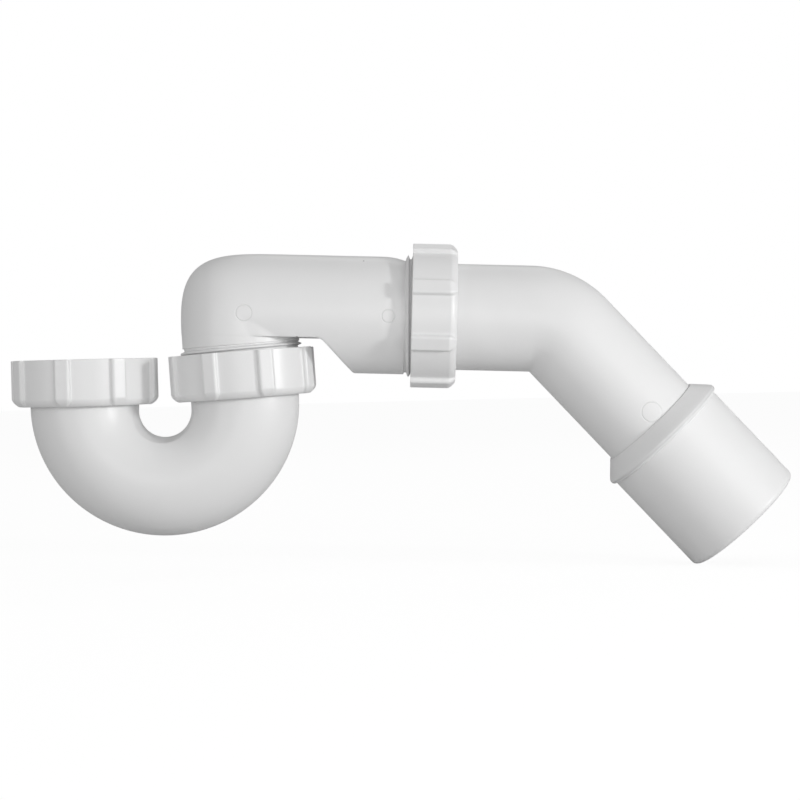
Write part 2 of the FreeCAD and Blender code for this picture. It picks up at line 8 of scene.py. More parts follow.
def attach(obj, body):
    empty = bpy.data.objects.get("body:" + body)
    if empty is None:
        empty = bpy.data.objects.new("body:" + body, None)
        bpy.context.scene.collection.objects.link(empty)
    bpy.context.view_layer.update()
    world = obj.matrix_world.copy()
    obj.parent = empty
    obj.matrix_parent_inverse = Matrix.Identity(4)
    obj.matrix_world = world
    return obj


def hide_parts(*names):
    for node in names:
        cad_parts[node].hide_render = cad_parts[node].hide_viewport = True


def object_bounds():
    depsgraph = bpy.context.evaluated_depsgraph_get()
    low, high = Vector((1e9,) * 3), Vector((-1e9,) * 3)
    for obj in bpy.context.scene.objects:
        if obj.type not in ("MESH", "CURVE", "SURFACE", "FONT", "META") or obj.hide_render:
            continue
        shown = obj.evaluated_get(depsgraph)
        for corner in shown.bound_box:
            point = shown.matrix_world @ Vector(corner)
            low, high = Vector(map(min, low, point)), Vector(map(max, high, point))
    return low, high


# Bath trap: smooth moulded skins, screw threads, mould marks and finishes over the plain solids.
# Sizes are millimetres and degrees, as in the part's source. Meshes, lamps and the camera are
# in metres.
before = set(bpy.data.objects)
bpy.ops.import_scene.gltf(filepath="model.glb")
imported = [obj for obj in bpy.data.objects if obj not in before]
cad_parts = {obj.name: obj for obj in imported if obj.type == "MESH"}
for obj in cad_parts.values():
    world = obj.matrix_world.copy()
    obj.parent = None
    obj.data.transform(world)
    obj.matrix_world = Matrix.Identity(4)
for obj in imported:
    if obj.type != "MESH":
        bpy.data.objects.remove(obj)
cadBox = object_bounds()
print("solids loaded")

trap = {
    "bendRadius": 30.3,  # middle line of the U-bend
    "bendDrop": 17.5,  # from the inlet nut's mouth down to the bend
    "outletLean": 2.9,  # the outlet leans back by this
    "armRise": 15.0,  # from the outlet nut's mouth up to the arm's axis
    "elbowTurn": 95.6,
    "spigotDepth": 9.0,  # how deep the elbow's leg stands in its nut
    "jointReach": 65.5,  # along the arm to the seal nut's mouth
    "spigotEntry": 7.0,  # how deep the arm stands in that nut
    "pipeRadius": 20.0,
    "pipeEntry": 8.5,  # how far the pipe goes in past the seal nut's mouth
    "pipeRun": 44.6,  # from that mouth to the pipe's bend
    "pipeBendRadius": 20.5,
    "pipeTurn": 45.0,
    "pipeLeg": 45.0,  # from the bend to the sleeve
    "sleeveOverlap": 34.0,
}
thread = {
    "pitch": 2.309,  # 11 turns an inch
    "root": 21.4,  # bottom of the male thread
    "height": 1.5,
    "nutRoot": 23.2,  # bottom of the nut's thread
    "nutHeight": 1.4,
    "crest": 0.22,  # half of the flat crest
    "fade": 0.9,  # run-out at both ends
    "legStart": 0.634,  # where the thread over the outlet starts, in turns
    "armStart": 0.0,  # and where the one at the arm's end does
}
armTurn = trap["elbowTurn"] - trap["outletLean"]
legTurn = armTurn + trap["pipeTurn"]


# places on the trap's axes, as (x, z)
def outletPoint(rise):
    lean = math.radians(trap["outletLean"])
    return np.array((
        trap["bendRadius"] * (1 + math.cos(lean)) - rise * math.sin(lean),
        trap["bendRadius"] * math.sin(lean) + rise * math.cos(lean) - trap["bendDrop"],
    ))


def along(tilt):
    return np.array((math.sin(math.radians(tilt)), math.cos(math.radians(tilt))))


def armPoint(reach):
    return outletPoint(trap["bendDrop"] + trap["armRise"]) + reach * along(armTurn)


def pipeLegPoint(reach):
    start = armPoint(trap["jointReach"] + trap["pipeRun"])
    turned = along(legTurn - 90) - along(armTurn - 90)
    return start + trap["pipeBendRadius"] * turned + reach * along(legTurn)


# points (x, y, z) with z along the piece's own axis, spun about it, tilted about Y and moved
def placed(points, origin, tilt, spin=0.0):
    s, c = along(spin)
    x = points[..., 0] * c - points[..., 1] * s
    y = points[..., 0] * s + points[..., 1] * c
    z = points[..., 2]
    s, c = along(tilt)
    return np.stack((origin[0] + x * c + z * s, y, origin[1] - x * s + z * c), axis=-1)


# A closed skin: rows run round the wall's section and columns round the bore, and both close
# on themselves. It is turned the right way out by the sign of its volume.
def skin(name, points, creaseAngle=40.0):
    rows, columns = points.shape[:2]
    r, c = np.meshgrid(np.arange(rows), np.arange(columns), indexing="ij")
    row, rowNext, cNext = r * columns, (r + 1) % rows * columns, (c + 1) % columns
    quads = np.stack((row + c, row + cNext, rowNext + cNext, rowNext + c), -1).reshape(-1, 4)
    spots = points.reshape(-1, 3) / 1000
    a, b, d, e = (spots[quads[:, k]] for k in range(4))
    if np.sum(np.einsum("ij,ij->i", a, np.cross(b, d) + np.cross(d, e))) < 0:
        quads = quads[:, ::-1]
    mesh = bpy.data.meshes.new(name)
    mesh.from_pydata(spots, [], quads)
    mesh.shade_smooth()
    mesh.set_sharp_from_angle(angle=math.radians(creaseAngle))
    piece = bpy.data.objects.new(name, mesh)
    bpy.context.scene.collection.objects.link(piece)
    return piece


# A closed section with each corner rounded. Corners are (across, along, radius); the tangent
# length is the radius over the tangent of half the corner's angle, and the arc turns from one
# tangent point to the other about a centre on the corner's bisector. Each corner gives steps + 2
# points, the outer two held a little off the arc so that the faces beside it shade flat.
def roundedSection(corners, steps=5, hold=0.25):
    spot = np.array([corner[:2] for corner in corners], float)
    radius = np.array([corner[2] for corner in corners], float)[:, None]
    back, ahead = np.roll(spot, 1, 0) - spot, np.roll(spot, -1, 0) - spot
    backRun = np.linalg.norm(back, axis=1)[:, None]
    aheadRun = np.linalg.norm(ahead, axis=1)[:, None]
    back, ahead = back / backRun, ahead / aheadRun
    half = np.arccos(np.clip(np.sum(back * ahead, 1), -1, 1))[:, None] / 2
    tangent = np.minimum(radius / np.tan(half), 0.45 * np.minimum(backRun, aheadRun))
    radius = tangent * np.tan(half)
    bisector = back + ahead
    bisector /= np.maximum(np.linalg.norm(bisector, axis=1)[:, None], 1e-9)
    centre = spot + bisector * radius / np.sin(half)
    share = np.linspace(0, 1, steps)[None, :, None]
    first = (spot + back * tangent - centre)[:, None]
    last = (spot + ahead * tangent - centre)[:, None]
    turn = (np.pi - 2 * half)[:, None]
    blend = np.where(turn > 1e-4, np.sin(turn), 1.0)
    swung = np.sin((1 - share) * turn) * first + np.sin(share * turn) * last
    arcs = centre[:, None] + swung / blend
    before = spot + back * (tangent + np.minimum(hold, 0.2 * backRun))
    after = spot + ahead * (tangent + np.minimum(hold, 0.2 * aheadRun))
    return np.concatenate((before[:, None], arcs, after[:, None]), axis=1).reshape(-1, 2)


# a section (radius, height) carried once round the Z axis
def turnedRing(section, columns):
    angle = np.linspace(0, 2 * np.pi, columns, endpoint=False)[None]
    radius, height = section[:, :1], section[:, 1:]
    return np.stack((radius * np.cos(angle), radius * np.sin(angle), height + 0 * angle), axis=-1)


# How far a right-hand screw thread stands out at a height and an angle: crests lie on a helix
# that climbs one pitch a turn, with sloping flanks, and fade out at both ends.
def threadRise(height, angle, low, high, shift=0.0):
    turns = height / thread["pitch"] - angle / (2 * np.pi) - shift
    fromCrest = np.abs(turns - np.round(turns)) * thread["pitch"]
    flank = thread["pitch"] / 2 - 2 * thread["crest"]
    rise = np.clip((thread["pitch"] / 2 - thread["crest"] - fromCrest) / flank, 0, 1)
    fadeIn = np.clip((height - low) / thread["fade"], 0, 1)
    fadeOut = np.clip((high - height) / thread["fade"], 0, 1)
    return rise * rise * (3 - 2 * rise) * (fadeIn * fadeOut)


# the larger of two values, with the crossover rounded over a width
def softMax(a, b, width):
    share = np.clip(0.5 + 0.5 * (a - b) / width, 0, 1)
    return b + (a - b) * share + width * share * (1 - share)


def softMin(a, b, width):
    return -softMax(-a, -b, width)


nut = {
    "tip": 28.2,
    "valley": 26.5,
    "ribs": 8,
    "ribWidth": 6.0,
    "ribRound": 1.1,
    "ribFoot": 0.8,
    "ribEnd": (3.0, 2.7),  # rounded end of a rib, along and across the axis
    "ringEnd": (2.5, 2.0),  # rounded end between the ribs
    "endPower": 1.5,  # 1 is a straight bevel, 2 an oval
    "ribNarrowing": 0.92,  # how far a rib's end is rounded from side to side
    "endRows": 18,
    "threadRows": 54,
    "edge": 0.3,  # round at the open end
    "relief": 0.5,  # how much wider than its thread a nut is behind it
    "mouthLead": 0.8,  # lead-in of the thread, half as wide as it is long
    "mouthSteps": (0.55, 1.2),  # chamfer at the mouth, out from the thread
    "roughness": 0.33,
}
unionNut = {
    "height": 17.4,
    "lip": 3.2,
    "lipBore": 20.9,
    "threadEnd": 8.6,
    "inletSpin": 35.8,
    "outletSpin": 22.5,
}
sealNut = {
    "height": 16.8,
    "lip": 4.0,
    "lipBore": 20.3,
    "threadEnd": 6.6,
    "spin": 22.5,
}


# Half a rib and half a valley in plan: flat top, round corner, wall, round foot, valley arc;
# then its mirror image, repeated round the nut. Gives the radius and angle of each column.
def ribOutline():
    half, bevel, foot = nut["ribWidth"] / 2, nut["ribRound"], nut["ribFoot"]
    top = np.stack((np.full(4, nut["tip"]), np.linspace(0, half - bevel, 5)[:4]), -1)
    turn = np.linspace(0, np.pi / 2, 9)
    corner = bevel * np.stack((np.cos(turn), np.sin(turn)), -1)
    corner += (nut["tip"] - bevel, half - bevel)
    footX = math.sqrt((nut["valley"] + foot) ** 2 - (half + foot) ** 2)
    inward = math.atan2(-(half + foot), -footX) + 2 * np.pi
    turn = np.linspace(1.5 * np.pi, inward, 5)
    footArc = foot * np.stack((np.cos(turn), np.sin(turn)), -1) + (footX, half + foot)
    start = math.atan2(footArc[-1, 1], footArc[-1, 0])
    turn = np.linspace(start, np.pi / nut["ribs"], 9)[1:]
    valley = nut["valley"] * np.stack((np.cos(turn), np.sin(turn)), -1)
    one = np.concatenate((top, corner, footArc, valley))
    radius, angle = np.hypot(one[:, 0], one[:, 1]), np.arctan2(one[:, 1], one[:, 0])
    radius = np.concatenate((radius[::-1], radius[1:-1]))
    angle = np.concatenate((-angle[::-1], angle[1:-1]))
    sectors = np.arange(nut["ribs"])[:, None] * 2 * np.pi / nut["ribs"]
    return np.tile(radius, nut["ribs"]), (angle + sectors).reshape(-1)


# The outer wall follows the rib outline. At the closed end the ring is rounded, and so is each
# rib, which also narrows like a dome: a column's share of the rib's height stays, while ring,
# tip and width follow rounded profiles of the height above the end face. The bore is a lip, a
# relief and the thread. threadFrame turns height and angle into the frame that the thread
# shares with the spigot inside, and start is where that thread starts, in turns.
def nutSkin(size, start, threadFrame):
    radius, angle = ribOutline()
    height, threadEnd, edge = size["height"], size["threadEnd"], nut["edge"]
    quarter = np.linspace(0, np.pi / 2, 5)[:, None]
    topR = radius - edge + edge * np.sin(quarter)
    topZ = edge * np.cos(quarter) - edge + 0 * radius
    share = np.array((0.02, 0.1, 0.5, 0.9, 0.98))[:, None]
    wallR = radius + 0 * share
    wallZ = -edge + (nut["ribEnd"][0] - height + edge) * share + 0 * radius
    fall = np.sin(np.linspace(0, np.pi / 2, nut["endRows"]))
    above = nut["ribEnd"][0] * (1 - fall)[:, None]

    def rounded(outer, end):
        near = np.clip(1 - above / end[0], 0, 1)
        return outer - end[1] * (1 - (1 - near ** nut["endPower"]) ** (1 / nut["endPower"]))

    ring, tip = rounded(nut["valley"], nut["ringEnd"]), rounded(nut["tip"], nut["ribEnd"])
    narrow = np.sqrt(1 - nut["ribNarrowing"] * np.clip(1 - above / nut["ribEnd"][0], 0, 1) ** 2)
    sector = 2 * np.pi / nut["ribs"]
    middle = np.round(angle / sector) * sector
    off = angle - middle
    foot = math.asin((nut["ribWidth"] / 2 + nut["ribFoot"]) / nut["valley"])
    spread = (sector / 2 - foot * narrow) / (sector / 2 - foot)
    between = foot * narrow + (np.abs(off) - foot) * spread
    roundTurn = middle + np.where(np.abs(off) < foot, off * narrow, np.sign(off) * between)
    roundR = ring + (radius - nut["valley"]) / (nut["tip"] - nut["valley"]) * (tip - ring)
    inner = roundedSection([
        (nut["valley"] - nut["ringEnd"][1], -height, 0.0),
        (size["lipBore"], -height, 0.4),
        (size["lipBore"], size["lip"] - height, 0.3),
        (thread["nutRoot"] + nut["relief"], size["lip"] - height, 0.3),
        (thread["nutRoot"] + nut["relief"], -threadEnd, 0.2),
        (thread["nutRoot"], -threadEnd, 0.2),
        (thread["nutRoot"], 0, 0.0),
    ])[7:-7]
    threadZ = np.linspace(-threadEnd + 0.3, -0.05, nut["threadRows"])[:, None] + 0 * angle
    shared, spun = threadFrame(threadZ, angle + 0 * threadZ)
    low, high = np.sort((threadFrame(-threadEnd, 0)[0], threadFrame(0, 0)[0]))
    rise = threadRise(shared, spun, low, high, start + 0.5)  # crests in the spigot's grooves
    lead = np.clip(threadZ + nut["mouthLead"], 0, None)
    threadR = thread["nutRoot"] - thread["nutHeight"] * rise + lead * 0.5
    mouthR = thread["nutRoot"] + np.array(nut["mouthSteps"])[:, None] + 0 * angle
    allR = np.concatenate((topR, wallR, roundR, inner[:, :1] + 0 * angle, threadR, mouthR))
    allZ = np.concatenate((
        topZ, wallZ, above - height + 0 * angle, inner[:, 1:] + 0 * angle, threadZ, 0 * mouthR,
    ))
    before, after = len(topR) + len(wallR), len(inner) + len(threadR) + len(mouthR)
    turn = np.concatenate((np.tile(angle, (before, 1)), roundTurn, np.tile(angle, (after, 1))))
    return np.stack((allR * np.cos(turn), allR * np.sin(turn), allZ), axis=-1)


# The thread of a union nut is the elbow's, measured up from the foot of the elbow's leg.
def unionFrame(spin):
    return lambda z, angle: (z + trap["spigotDepth"], angle + math.radians(spin))


# The seal nut faces back along the arm, so height and angle run the other way.
def sealFrame(z, angle):
    return trap["jointReach"] - z, np.pi - angle - math.radians(sealNut["spin"])


bend = {
    "outside": 20.4,
    "bore": 18.2,
    "bellyFlat": 0.9,  # how much shallower the underside is than a round tube
    "crotchDrop": 2.6,
    "crotchDraft": 8.5,
    "crotchWall": 2.0,
    "crotchEdge": 0.35,  # softness of the crescent edge
    "flange": 22.0,
    "flangeLow": -14.2,
    "flangeHigh": -11.4,
    "neckLow": -17.0,  # where the straight neck ends outside
    "boreLow": -16.5,  # and inside
    "outerRows": 150,
    "boreRows": 90,
    "columns": 288,
}


# Ovals round the bend: each is as wide as the tube and reaches from a near to a far distance
# from the bend's centre. Towards the middle the far side is flattened. On the outside, what is
# nearer than a cone is pushed out to it; the cone's axis runs across, a little under the centre.
def bendSkin():
    turn = np.linspace(0, 2 * np.pi, bend["columns"], endpoint=False)[None]
    centre = np.array((trap["bendRadius"], -trap["bendDrop"]))

    def ovals(share, half, rise):
        angle = np.radians(180 + trap["outletLean"]) * share[:, None]
        fullness = np.sin(np.pi * share[:, None]) ** 2
        near = trap["bendRadius"] - half + rise * fullness
        far = trap["bendRadius"] + half - bend["bellyFlat"] * fullness
        reach = (near + far) / 2 + np.minimum(half, (far - near) / 2) * np.cos(turn)
        x, z = centre[0] - reach * np.cos(angle), centre[1] - reach * np.sin(angle)
        return np.stack((x, half * np.sin(turn) + 0 * x, z), axis=-1)

    def neck(section, origin, tilt, side):
        radius, height = section[:, :1], section[:, 1:] + 0 * turn
        local = np.stack((-side * radius * np.cos(turn), radius * np.sin(turn), height), axis=-1)
        return placed(local, origin, tilt)

    half = bend["outside"]
    outer = ovals(np.linspace(0, 1, bend["outerRows"]), half, 0.0)
    hub = centre - np.array((0, bend["crotchDrop"]))
    away = outer[..., 0::2] - hub
    distance = np.linalg.norm(away, axis=-1)
    draft = math.tan(math.radians(bend["crotchDraft"]))
    cone = trap["bendRadius"] - half + np.abs(outer[..., 1]) * draft
    pushed = softMax(distance, cone, bend["crotchEdge"])
    pushed = np.where(distance > cone + bend["crotchEdge"], distance, pushed)
    outer[..., 0::2] = hub + away * (pushed / distance)[..., None]
    rise = bend["crotchDrop"] + bend["crotchWall"] + bend["bore"] - half
    bore = ovals(np.linspace(1, 0, bend["boreRows"]), bend["bore"], rise)
    collar = roundedSection([
        (bend["bore"], bend["boreLow"], 0.0),
        (bend["bore"], bend["flangeHigh"], 0.4),
        (bend["flange"], bend["flangeHigh"], 0.4),
        (bend["flange"], bend["flangeLow"], 0.3),
        (half, bend["flangeLow"], 0.4),
        (half, bend["neckLow"], 0.0),
    ])[7:-7]
    inlet = neck(collar, (0, 0), 0, 1)
    outlet = neck(collar[::-1], outletPoint(trap["bendDrop"]), -trap["outletLean"], -1)
    return np.concatenate((inlet, outer, outlet, bore))


elbow = {
    "radius": 22.1,
    "legBore": 19.0,
    "socket": 20.25,
    "squareness": 4.2,  # of the outer corner: 2 is round, more is squarer
    "cornerBlend": 0.2,  # how widely the corner's two halves run into one another
    "valleyGap": 0.5,  # from the leg's side to the line that the corner turns about
    "threadShow": 2.5,  # thread above the outlet nut's mouth
    "flatDrop": 9.15,  # from the arm's axis to the flat
    "flatWall": 2.1,
    "slopeReach": 32.0,
    "slopeAngle": 47.2,
    "slopeRound": 1.6,  # softness where the slope starts
    "cutEdge": 0.3,  # softness of the flat's edges
    "footRound": 0.4,  # softness between the leg and the flat
    "mitreRound": 0.4,  # softness of the crease where the arm meets the leg, at its inner end
    "mitreFade": 0.25,  # how fast it softens along the crease
    "mitreLength": 32.0,
    "mitreSlack": 30.0,  # the softness stays under the depth squared over this, so no side swells
    "shoulderReach": 54.3,
    "shoulderLength": 8.5,
    "shoulderCurve": 42.0,
    "shoulderShare": 0.85,  # the shoulder drops by twice this share above and by none below
    "threadLead": (0.7, 0.6),  # lead-in at the leg's foot and at the arm's mouth
    "footRadius": 20.4,
    "pivot": (0.6, 12.0),  # what the rays fan about: out from the leg's side, up from its foot
    "armFrom": 24.2,  # along the arm to the first ring that isn't in the fan
    "armTo": 60.0,  # and to the last one inside
    "rayStep": 0.75,
    "raySteps": 56,
    "rayHalvings": 16,
    "threadRows": (62, 60),  # on the leg and on the arm
    "fanRows": (104, 30),  # outside and inside
    "armRows": (52, 16),
    "shoulderRows": 14,
    "columns": 256,
    "marks": ((62.5, 15.6, 2.95), (115.7, 13.1, 2.4)),  # x, z and radius of each ejector mark
    "speck": (106.9, 34.2, 0.4),  # x, z and radius of a dark speck
}
armHeight = trap["spigotDepth"] + trap["armRise"]


# distance along the arm from the leg's axis, and height above the arm's axis
def armFrame(x, z):
    s, c = along(trap["elbowTurn"])
    return x * s + (z - armHeight) * c, -x * c + (z - armHeight) * s


# Roughly how far a point is outside the elbow. Up to their axes leg and arm are two tubes that
# meet in a crease. Past the axes half ovals turn about a valley line, and their far end follows
# a squared oval round the corner. The underside is cut by a flat and a slope beside the leg.
def outsideElbow(x, y, z, legInset, armInset, wall, legRadius):
    radius, gap, power = elbow["radius"], elbow["valleyGap"], elbow["squareness"]
    lean = math.radians(trap["elbowTurn"] - 90)
    valleyX = radius + gap
    valleyZ = armHeight - valleyX * (math.sin(lean) + 1) / math.cos(lean)
    turn = np.arctan2(z - valleyZ, valleyX - x)
    turn = np.where(turn < -np.pi / 2, turn + 2 * np.pi, turn)
    whole = math.radians(trap["elbowTurn"])
    held = np.clip(turn, 0, whole)
    inset = legInset + (armInset - legInset) * held / whole
    reach = np.hypot(valleyX - x, z - valleyZ)
    square = np.abs(np.cos(held)) ** power + np.abs(np.sin(held - lean)) ** power
    far = (2 * radius + gap) * square ** (-1 / power)
    axis = valleyX / softMax(np.cos(held), np.cos(whole - held), elbow["cornerBlend"])
    halfWide = radius - inset
    corner = (np.hypot((reach - axis) / (far - axis - inset), y / halfWide) - 1) * halfWide
    s, v = armFrame(x, z)
    inward = np.maximum(axis - reach, 0.1)
    fromCorner = np.maximum(elbow["mitreLength"] - inward, 0)
    softness = elbow["mitreRound"] + elbow["mitreFade"] * fromCorner
    softness = np.minimum(softness, inward ** 2 / elbow["mitreSlack"])
    tubes = softMin(np.hypot(x, y), np.hypot(v, y), softness) - halfWide
    form = np.where(reach > axis, corner, tubes)
    form = np.where(turn > whole, np.hypot(v, y) - (radius - armInset), form)
    steep = math.radians(elbow["slopeAngle"])
    flat = wall - elbow["flatDrop"]
    start = elbow["slopeReach"] + wall * math.tan(steep / 2)
    below = flat - v
    before = -(s - start) * math.sin(steep) - (v - flat) * math.cos(steep)
    underside = softMin(below, before, elbow["slopeRound"])
    cut = softMin(underside, np.hypot(x, y) - legRadius, elbow["footRound"])
    return softMax(form, cut, elbow["cutEdge"])


# Rays leave points of a middle line that goes up the leg, fans round the inner corner and runs
# down the arm. Where a ray leaves the form is found by stepping out and then halving.
def elbowRows(fan, arm, *form):
    turn = np.linspace(0, 2 * np.pi, elbow["columns"], endpoint=False)
    pivot = np.array((elbow["radius"] + elbow["pivot"][0], elbow["pivot"][1]))
    whole = math.radians(trap["elbowTurn"])
    share = fan / fan.max()
    ease = share * share * (3 - 2 * share)
    middle = pivot[0] + (-armFrame(*pivot)[1] - pivot[0]) * ease
    tilt = np.concatenate((share * whole, np.full(arm.size, whole)))
    outward = np.stack((-np.cos(tilt), np.sin(tilt)), -1)
    fanned = pivot + middle[:, None] * outward[:fan.size]
    straight = (0, armHeight) + arm[:, None] * along(trap["elbowTurn"])
    start = np.concatenate((fanned, straight))
    rayX, rayY = outward[:, :1] * np.cos(turn), 0 * tilt[:, None] + np.sin(turn)
    rayZ = outward[:, 1:] * np.cos(turn)

    def spot(reach):
        return start[:, :1] + reach * rayX, reach * rayY, start[:, 1:] + reach * rayZ

    low = np.zeros(rayX.shape)
    going = np.ones(rayX.shape, bool)
    for count in range(elbow["raySteps"]):
        reach = low + elbow["rayStep"]
        going &= outsideElbow(*spot(reach), *form) < 0
        low = np.where(going, reach, low)
    high = low + elbow["rayStep"]
    for count in range(elbow["rayHalvings"]):
        reach = (low + high) / 2
        inside = outsideElbow(*spot(reach), *form) < 0
        low, high = np.where(inside, reach, low), np.where(inside, high, reach)
    return np.stack(spot(low), axis=-1)


# From the leg's foot: the leg's thread, a small shoulder, the moulded form as far as the arm's
# shoulder, the arm's thread, the socket's mouth, and the inside all the way back to the foot.
def elbowSkin():
    turn = np.linspace(0, 2 * np.pi, elbow["columns"], endpoint=False)[None]
    spin = np.pi - turn

    def legRing(radius, height):
        x, y = -radius * np.cos(turn), radius * np.sin(turn)
        return np.stack((x, y, height + 0 * x), axis=-1)

    def armRing(radius, reach):
        s, c = along(trap["elbowTurn"])
        x = reach * s - radius * np.cos(turn) * c
        z = armHeight + reach * c + radius * np.cos(turn) * s
        return np.stack((x, radius * np.sin(turn), z), axis=-1)

    bedTop = trap["spigotDepth"] + elbow["threadShow"]
    high = np.linspace(0.15, bedTop - 0.05, elbow["threadRows"][0])[:, None]
    rise = threadRise(high, spin, 0.4, bedTop, thread["legStart"])
    lead = np.clip(elbow["threadLead"][0] - high, 0, None)
    legThread = legRing(thread["root"] + thread["height"] * rise - lead, high)
    shoulder = np.array(((-0.3, 0.0), (-0.12, 0.06), (0.0, 0.25)))
    legShoulder = legRing(elbow["radius"] + shoulder[:, :1], bedTop + shoulder[:, 1:])
    fan = np.linspace(0, 1, elbow["fanRows"][0])
    arm = np.linspace(elbow["armFrom"], elbow["shoulderReach"], elbow["armRows"][0])
    outside = elbowRows(fan, arm, 0.0, 0.0, 0.0, elbow["radius"])
    end = trap["jointReach"] + trap["spigotEntry"]
    bedStart = elbow["shoulderReach"] + elbow["shoulderLength"]
    run = np.linspace(0, elbow["shoulderLength"], elbow["shoulderRows"])[1:, None]
    drop = elbow["shoulderCurve"] - np.sqrt(elbow["shoulderCurve"] ** 2 - run ** 2)
    drop = elbow["shoulderShare"] * drop * (1 + np.cos(turn))
    shoulderRows = armRing(elbow["radius"] - drop, elbow["shoulderReach"] + run)
    reach = np.linspace(bedStart + 0.15, end - 0.15, elbow["threadRows"][1])[:, None]
    rise = threadRise(reach, spin, bedStart, end - 0.3, thread["armStart"])
    lead = elbow["threadLead"][1] * np.clip((reach - end + 0.7) / 0.7, 0, 1)
    armThread = armRing(thread["root"] + thread["height"] * rise - lead, reach)
    mouth = np.array(((0.75, 0.0), (0.6, 0.05), (0.05, 1.3), (0.0, 1.5), (0.0, 1.8)))
    mouthRows = armRing(elbow["socket"] + mouth[:, :1], end - mouth[:, 1:])
    fan = np.linspace(0, 1, elbow["fanRows"][1])
    arm = np.linspace(elbow["armFrom"], elbow["armTo"], elbow["armRows"][1])
    legInset, armInset = elbow["radius"] - elbow["legBore"], elbow["radius"] - elbow["socket"]
    inside = elbowRows(fan, arm, legInset, armInset, elbow["flatWall"], elbow["legBore"])
    foot = np.array((
        (elbow["legBore"], 6.0), (elbow["legBore"], 0.4), (elbow["legBore"] + 0.2, 0.0),
        (elbow["footRadius"], 0.0),
    ))
    footRows = legRing(foot[:, :1], foot[:, 1:])
    local = np.concatenate((
        legThread, legShoulder, outside, shoulderRows, armThread, mouthRows, inside[::-1],
        footRows,
    ))
    return placed(local, outletPoint(trap["bendDrop"] - trap["spigotDepth"]), -trap["outletLean"])


pipe = {
    "wall": 1.8,
    "endRound": 0.5,
    "bendRows": 72,
    "columns": 224,
    "marks": ((212.0, -24.6, 3.7),),  # x, z and radius
}


# A round tube along a straight run, a circular bend and a straight leg: each ring is centred on
# that line and square to it, and the wall closes at both ends.
def pipeSkin():
    turn = np.linspace(0, 2 * np.pi, pipe["columns"], endpoint=False)[None]
    start = trap["pipeEntry"] + trap["pipeRun"]
    whole = math.radians(trap["pipeTurn"])
    bendLength = trap["pipeBendRadius"] * whole
    length = start + bendLength + trap["pipeLeg"] + trap["sleeveOverlap"]

    def rings(radius, distance):
        radius, distance = radius[:, None], distance[:, None]
        angle = np.clip((distance - start) / trap["pipeBendRadius"], 0, whole)
        rest = np.clip(distance - start - bendLength, 0, None)
        x = trap["pipeBendRadius"] * (1 - np.cos(angle)) + rest * math.sin(whole)
        z = trap["pipeBendRadius"] * np.sin(angle) + rest * math.cos(whole)
        z = z + np.minimum(distance, start)
        x = x + radius * np.cos(turn) * np.cos(angle)
        z = z - radius * np.cos(turn) * np.sin(angle)
        return np.stack((x, radius * np.sin(turn) + 0 * x, z), axis=-1)

    curve = start + bendLength * np.linspace(0, 1, pipe["bendRows"])
    run, leg = (2, 10, 30, start - 8, start - 1), start + bendLength + np.array((1, 8, 30, 60))
    middle = np.concatenate((run, curve, leg))
    outside, inside = trap["pipeRadius"], trap["pipeRadius"] - pipe["wall"]
    ends = roundedSection([
        (outside, 0, pipe["endRound"]), (outside, length, pipe["endRound"]),
        (inside, length, pipe["endRound"]), (inside, 0, pipe["endRound"]),
    ], 5)
    first, second, third, fourth = ends.reshape(4, -1, 2)
    section = np.concatenate((
        first, np.stack((np.full(middle.size, outside), middle), -1), second, third,
        np.stack((np.full(middle.size, inside), middle[::-1]), -1), fourth,
    ))
    local = rings(section[:, 0], section[:, 1])
    return placed(local, armPoint(trap["jointReach"] - trap["pipeEntry"]), armTurn)


sleeve = {
    "radius": 25.0,
    "length": 51.3,
    "wall": 2.4,
    "rim": 26.4,
    "rimRound": 1.2,
    "mouthCone": 5.9,
    "mouthEdge": 0.6,
    "grip": 20.05,  # radius of the two rings that hold the pipe
    "gripWidth": 1.6,
    "gripPitch": 7.0,
    "noseRound": 3.8,
    "noseDepth": 6.0,
    "noseBore": 20.6,
    "roughness": 0.42,
    "columns": 256,
}


# One section carried round: mouth, cone, rim, body, nose and, inside, the bore and two grips.
def sleeveSkin():
    cone, grip, deep = sleeve["mouthCone"], sleeve["grip"], sleeve["radius"] - sleeve["wall"]
    rim, end, groove = sleeve["rim"], sleeve["length"], sleeve["wall"] / 2
    first, second = cone + sleeve["gripWidth"], cone + sleeve["gripPitch"]
    section = roundedSection([
        (grip, 0, 0.15),
        (grip + sleeve["mouthEdge"], 0, 0.25),
        (rim - 1.0, cone - 1.0, 1.6),
        (rim, cone + 0.2, sleeve["rimRound"]),
        (rim - 0.1, cone + 1.6, sleeve["rimRound"]),
        (sleeve["radius"], cone + 2.0, 0.4),
        (sleeve["radius"], end, sleeve["noseRound"]),
        (sleeve["noseBore"], end, 0.5),
        (sleeve["noseBore"], end - sleeve["noseDepth"], 0.4),
        (deep, end - sleeve["noseDepth"] - deep + sleeve["noseBore"], 0.6),
        (deep, second + sleeve["gripWidth"] + deep - grip, 0.6),
        (grip, second + sleeve["gripWidth"], 0.3),
        (grip, second, 0.3),
        (grip + groove, second - groove, 0.3),
        (grip + groove, first + groove, 0.3),
        (grip, first, 0.3),
    ], 7)
    return placed(turnedRing(section, sleeve["columns"]), pipeLegPoint(trap["pipeLeg"]), legTurn)


